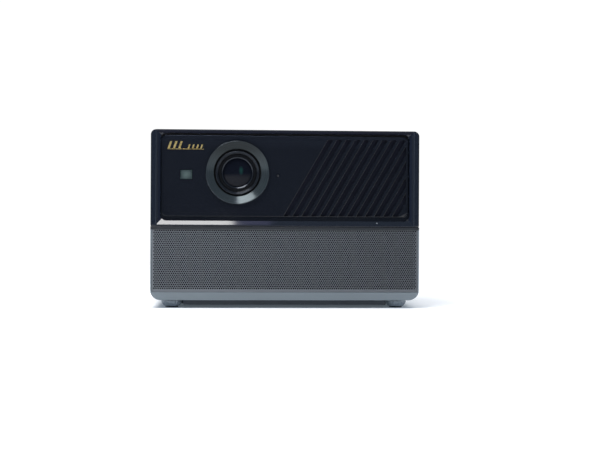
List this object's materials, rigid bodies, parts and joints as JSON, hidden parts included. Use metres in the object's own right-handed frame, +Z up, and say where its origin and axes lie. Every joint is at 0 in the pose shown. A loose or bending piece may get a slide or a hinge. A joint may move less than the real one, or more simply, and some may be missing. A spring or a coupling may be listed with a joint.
{
  "type": "home projector",
  "caption": "Box-shaped home projector with a dished lens ring, slanted front vents, a perforated speaker front and screw-adjusted front feet.",
  "frame": {"origin": "middle of the footprint, on the surface that the feet stand on", "axes": "+X to the right as seen from the front, the lens looks along -Y, +Z up"},
  "size_m": [0.27, 0.215, 0.179],
  "materials": {
    "gloss_black": "high gloss black with a blue tint",
    "matte_black": "fine texture black",
    "grey_plastic": "fine texture blue-grey",
    "grille_metal": "painted perforated sheet",
    "gunmetal": "circular brushed, anodised dark",
    "aluminium": "plain",
    "steel": "plain",
    "brass": "turned",
    "gold_trim": "metallic gold print",
    "lens_glass": "coated",
    "tinted_window": "tinted grey-green window",
    "clear_sheet": "clear grooved sheet",
    "panel_glass": "display glass",
    "circuit_board": "solder mask green",
    "light_plastic": "diffusing white",
    "gear_plastic": "natural acetal",
    "cone_paper": "black paper cone with rubber surround",
    "rubber": "matte",
    "foot_plastic": "fluted dark grey plastic"
  },
  "bodies": {
    "projector_body": {"front_bezel": "gloss_black", "front_panel": "gloss_black", "lens_trim_ring": "gunmetal", "sensor_window": "tinted_window", "sensor_module": "circuit_board", "status_led": "light_plastic", "indicator_lens": "light_plastic", "front_badge": "gold_trim", "upper_housing": "matte_black", "lower_housing": "grey_plastic", "rear_cover": "matte_black", "bottom_cover": "matte_black", "bottom_screw_1": "steel", "bottom_screw_2": "steel", "bottom_screw_3": "steel", "bottom_screw_4": "steel", "chassis_plate": "steel", "speaker_grille": "grille_metal", "speaker_baffle": "matte_black", "left_speaker_basket": "matte_black", "right_speaker_basket": "matte_black", "lens_sleeve": "aluminium", "focus_motor": "steel", "motor_bracket": "steel", "engine_housing": "matte_black", "engine_frame": "matte_black", "fresnel_lens_front": "clear_sheet", "lcd_panel": "panel_glass", "fresnel_lens_rear": "clear_sheet", "light_funnel": "aluminium", "led_module": "light_plastic", "led_heatsink": "aluminium", "led_fan_frame": "matte_black", "exhaust_fan_frame": "matte_black", "main_board": "circuit_board", "hdmi_socket_1": "steel", "hdmi_socket_2": "steel", "usb_socket": "steel", "audio_jack": "matte_black", "power_inlet": "matte_black", "power_supply_board": "circuit_board", "button_board": "circuit_board", "rear_foot_left": "rubber", "rear_foot_right": "rubber", "tripod_insert": "brass"},
    "focus_ring": {"focus_ring_gear": "gear_plastic"},
    "focus_gear": {"focus_drive_gear": "gear_plastic"},
    "lens_carriage": {"lens_barrel": "matte_black", "lens_retaining_ring": "matte_black", "front_lens_element": "lens_glass", "rear_lens_element": "lens_glass"},
    "led_fan_wheel": {"led_fan_rotor": "matte_black"},
    "exhaust_fan_wheel": {"exhaust_fan_rotor": "matte_black"},
    "left_cone": {"left_speaker_cone": "cone_paper"},
    "right_cone": {"right_speaker_cone": "cone_paper"},
    "power_button_cap": {"power_button": "matte_black"},
    "left_foot_slider": {"left_foot_pad": "rubber"},
    "left_foot_wheel": {"left_foot_knob": "foot_plastic"},
    "right_foot_slider": {"right_foot_pad": "rubber"},
    "right_foot_wheel": {"right_foot_knob": "foot_plastic"}
  },
  "joints": [
    {"name": "focus_ring_turn", "type": "hinge", "parent": "projector_body", "child": "focus_ring", "pos_m": [-0.0484, -0.0882, 0.1363], "axis": [0, -1, 0], "range_deg": [-45, 45]},
    {"name": "focus_gear_turn", "type": "hinge", "parent": "projector_body", "child": "focus_gear", "pos_m": [-0.03856, -0.0882, 0.09959], "axis": [0, -1, 0], "range_deg": [-127, 127]},
    {"name": "lens_focus", "type": "slide", "parent": "projector_body", "child": "lens_carriage", "axis": [0, -1, 0], "range_m": [-0.002, 0.002]},
    {"name": "led_fan_spin", "type": "hinge", "parent": "projector_body", "child": "led_fan_wheel", "pos_m": [-0.0484, 0.0935, 0.1363], "axis": [0, -1, 0], "continuous": true},
    {"name": "exhaust_fan_spin", "type": "hinge", "parent": "projector_body", "child": "exhaust_fan_wheel", "pos_m": [0.072, -0.085, 0.131], "axis": [0, -1, 0], "continuous": true},
    {"name": "left_cone_stroke", "type": "slide", "parent": "projector_body", "child": "left_cone", "axis": [0, -1, 0], "range_m": [-0.001, 0.001], "stiffness_N_per_m": 1500},
    {"name": "right_cone_stroke", "type": "slide", "parent": "projector_body", "child": "right_cone", "axis": [0, -1, 0], "range_m": [-0.001, 0.001], "stiffness_N_per_m": 1500},
    {"name": "power_button_press", "type": "slide", "parent": "projector_body", "child": "power_button_cap", "axis": [0, 0, -1], "range_m": [0, 0.0009], "stiffness_N_per_m": 1200, "springref_m": -0.0004},
    {"name": "left_foot_raise", "type": "slide", "parent": "projector_body", "child": "left_foot_slider", "axis": [0, 0, -1], "range_m": [0, 0.008]},
    {"name": "left_foot_turn", "type": "hinge", "parent": "left_foot_slider", "child": "left_foot_wheel", "pos_m": [-0.1144, -0.0845, 0.0042], "axis": [0, 0, 1], "range_deg": [0, 2881]},
    {"name": "right_foot_raise", "type": "slide", "parent": "projector_body", "child": "right_foot_slider", "axis": [0, 0, -1], "range_m": [0, 0.008]},
    {"name": "right_foot_turn", "type": "hinge", "parent": "right_foot_slider", "child": "right_foot_wheel", "pos_m": [0.1144, -0.0845, 0.0042], "axis": [0, 0, 1], "range_deg": [0, 2881]}
  ],
  "couplings": [
    {"joint": "focus_ring_turn", "follows": "lens_focus", "rad_per_m": 392.16},
    {"joint": "focus_gear_turn", "follows": "lens_focus", "rad_per_m": -1098},
    {"joint": "left_foot_turn", "follows": "left_foot_raise", "rad_per_m": 6283.2},
    {"joint": "right_foot_turn", "follows": "right_foot_raise", "rad_per_m": 6283.2}
  ]
}
